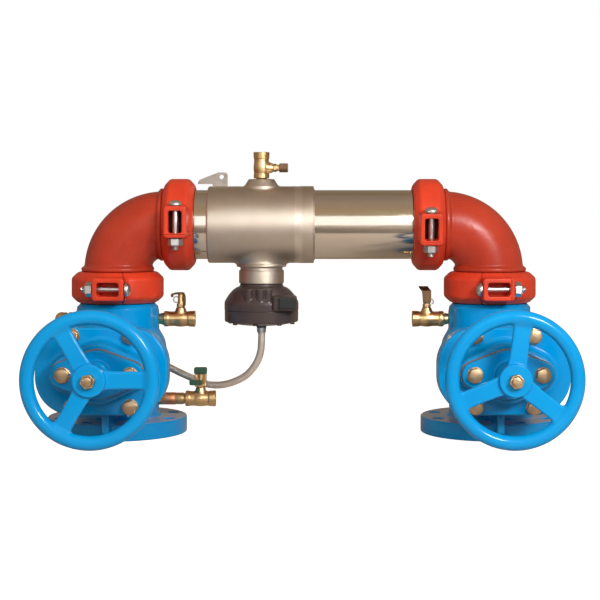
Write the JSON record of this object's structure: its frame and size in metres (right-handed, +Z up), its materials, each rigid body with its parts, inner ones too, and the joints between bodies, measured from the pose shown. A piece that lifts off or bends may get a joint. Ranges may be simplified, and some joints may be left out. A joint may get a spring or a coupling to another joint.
{
  "type": "backflow preventer",
  "caption": "N-shaped reduced-pressure backflow preventer: flanged gate valves, grooved couplings and elbows, stainless check housing, relief valve and test cocks.",
  "frame": {"origin": "centre of the bottom of the bounding box, level with both flange faces and midway between the two valve axes", "axes": "+X from the inlet valve to the outlet valve, +Z up along the valve bodies, -Y out along the valve stems to the handwheels"},
  "size_m": [0.8446, 0.4484, 0.4625],
  "materials": {
    "blue_epoxy": "semi-gloss fusion-bonded epoxy over iron casting",
    "orange_paint": "semi-gloss orange-red paint over iron casting",
    "red_paint": "satin dark red paint over iron casting",
    "stainless": "satin to polished stainless tube",
    "zinc": "bright zinc plate",
    "brass": "machined brass, satin",
    "bronze": "machined bronze, satin",
    "rubber": "matt rubber",
    "coated_iron": "iron core in moulded black rubber",
    "black_plastic": "moulded black-brown plastic, satin",
    "white_plastic": "moulded off-white plastic",
    "braided_steel": "stainless wire braid over rubber hose",
    "green_vinyl": "dark green dipped vinyl over brass"
  },
  "bodies": {
    "root": {"inlet_valve_body": "blue_epoxy", "inlet_bonnet_gasket": "rubber", "inlet_bonnet": "blue_epoxy", "inlet_seal_plate": "blue_epoxy", "outlet_valve_body": "blue_epoxy", "outlet_bonnet_gasket": "rubber", "outlet_bonnet": "blue_epoxy", "outlet_seal_plate": "blue_epoxy", "inlet_valve_coupling_head_half": "orange_paint", "inlet_valve_coupling_nut_half": "orange_paint", "inlet_valve_coupling_gasket": "rubber", "inlet_valve_coupling_front_bolt": "zinc", "inlet_valve_coupling_back_bolt": "zinc", "inlet_elbow_coupling_head_half": "orange_paint", "inlet_elbow_coupling_nut_half": "orange_paint", "inlet_elbow_coupling_gasket": "rubber", "inlet_elbow_coupling_front_bolt": "zinc", "inlet_elbow_coupling_back_bolt": "zinc", "outlet_elbow_coupling_head_half": "orange_paint", "outlet_elbow_coupling_nut_half": "orange_paint", "outlet_elbow_coupling_gasket": "rubber", "outlet_elbow_coupling_front_bolt": "zinc", "outlet_elbow_coupling_back_bolt": "zinc", "outlet_valve_coupling_head_half": "orange_paint", "outlet_valve_coupling_nut_half": "orange_paint", "outlet_valve_coupling_gasket": "rubber", "outlet_valve_coupling_front_bolt": "zinc", "outlet_valve_coupling_back_bolt": "zinc", "inlet_elbow": "red_paint", "outlet_elbow": "red_paint", "check_housing": "stainless", "inlet_check_seat": "white_plastic", "inlet_check_spring": "stainless", "outlet_check_seat": "white_plastic", "outlet_check_spring": "stainless", "relief_valve_body": "black_plastic", "relief_valve_cover": "black_plastic", "relief_valve_spring": "stainless", "sensing_hose": "braided_steel", "test_cock_1_body": "brass", "test_cock_2_body": "brass", "test_cock_3_body": "brass", "test_cock_4_body": "brass"},
    "inlet_wheel": {"inlet_valve_stem": "bronze", "inlet_handwheel": "blue_epoxy", "inlet_handwheel_nut": "bronze"},
    "outlet_wheel": {"outlet_valve_stem": "bronze", "outlet_handwheel": "blue_epoxy", "outlet_handwheel_nut": "bronze"},
    "inlet_gate": {"inlet_wedge": "coated_iron", "inlet_wedge_nut": "bronze"},
    "outlet_gate": {"outlet_wedge": "coated_iron", "outlet_wedge_nut": "bronze"},
    "inlet_clapper": {"inlet_check_clapper": "stainless"},
    "outlet_clapper": {"outlet_check_clapper": "stainless"},
    "relief_disc": {"relief_valve_disc": "brass"},
    "test_handle_1": {"test_cock_1_ball_and_handle": "green_vinyl"},
    "test_handle_2": {"test_cock_2_ball_and_handle": "brass"},
    "test_handle_3": {"test_cock_3_ball_and_handle": "brass"},
    "test_handle_4": {"test_cock_4_ball_and_handle": "brass"}
  },
  "joints": [
    {"name": "inlet_wheel_turn", "type": "hinge", "parent": "root", "child": "inlet_wheel", "pos_m": [-0.308, -0.19915, 0.12], "axis": [0, -1, 0], "range_deg": [0, 5040]},
    {"name": "inlet_gate_lift", "type": "slide", "parent": "root", "child": "inlet_gate", "axis": [0, -1, 0], "range_m": [0, 0.112]},
    {"name": "outlet_wheel_turn", "type": "hinge", "parent": "root", "child": "outlet_wheel", "pos_m": [0.308, -0.19915, 0.12], "axis": [0, -1, 0], "range_deg": [0, 5040]},
    {"name": "outlet_gate_lift", "type": "slide", "parent": "root", "child": "outlet_gate", "axis": [0, -1, 0], "range_m": [0, 0.112]},
    {"name": "inlet_check_swing", "type": "hinge", "parent": "root", "child": "inlet_clapper", "pos_m": [-0.128, 0.10985, 0.3895], "axis": [0, -1, 0], "range_deg": [0, 70], "stiffness_Nm_per_rad": 0.8, "springref_deg": -17.19},
    {"name": "outlet_check_swing", "type": "hinge", "parent": "root", "child": "outlet_clapper", "pos_m": [0.052, 0.10985, 0.3845], "axis": [0, -1, 0], "range_deg": [0, 70], "stiffness_Nm_per_rad": 0.6, "springref_deg": -17.19},
    {"name": "relief_disc_drop", "type": "slide", "parent": "root", "child": "relief_disc", "axis": [0, 0, -1], "range_m": [0, 0.008], "deforming": ["relief_valve_spring"]},
    {"name": "test_cock_1_turn", "type": "hinge", "parent": "root", "child": "test_handle_1", "pos_m": [-0.1707, 0.10985, 0.0545], "axis": [0, 0, 1], "range_deg": [0, 90]},
    {"name": "test_cock_2_turn", "type": "hinge", "parent": "root", "child": "test_handle_2", "pos_m": [-0.2037, 0.10985, 0.1865], "axis": [0, 0, 1], "range_deg": [0, 90]},
    {"name": "test_cock_3_turn", "type": "hinge", "parent": "root", "child": "test_handle_3", "pos_m": [-0.07, 0.10985, 0.4365], "axis": [1, 0, 0], "range_deg": [0, 90]},
    {"name": "test_cock_4_turn", "type": "hinge", "parent": "root", "child": "test_handle_4", "pos_m": [0.2037, 0.10985, 0.1865], "axis": [0, 0, 1], "range_deg": [0, 90]}
  ],
  "couplings": [
    {"joint": "inlet_gate_lift", "follows": "inlet_wheel_turn", "m_per_rad": 0.0012732},
    {"joint": "outlet_gate_lift", "follows": "outlet_wheel_turn", "m_per_rad": 0.0012732}
  ]
}
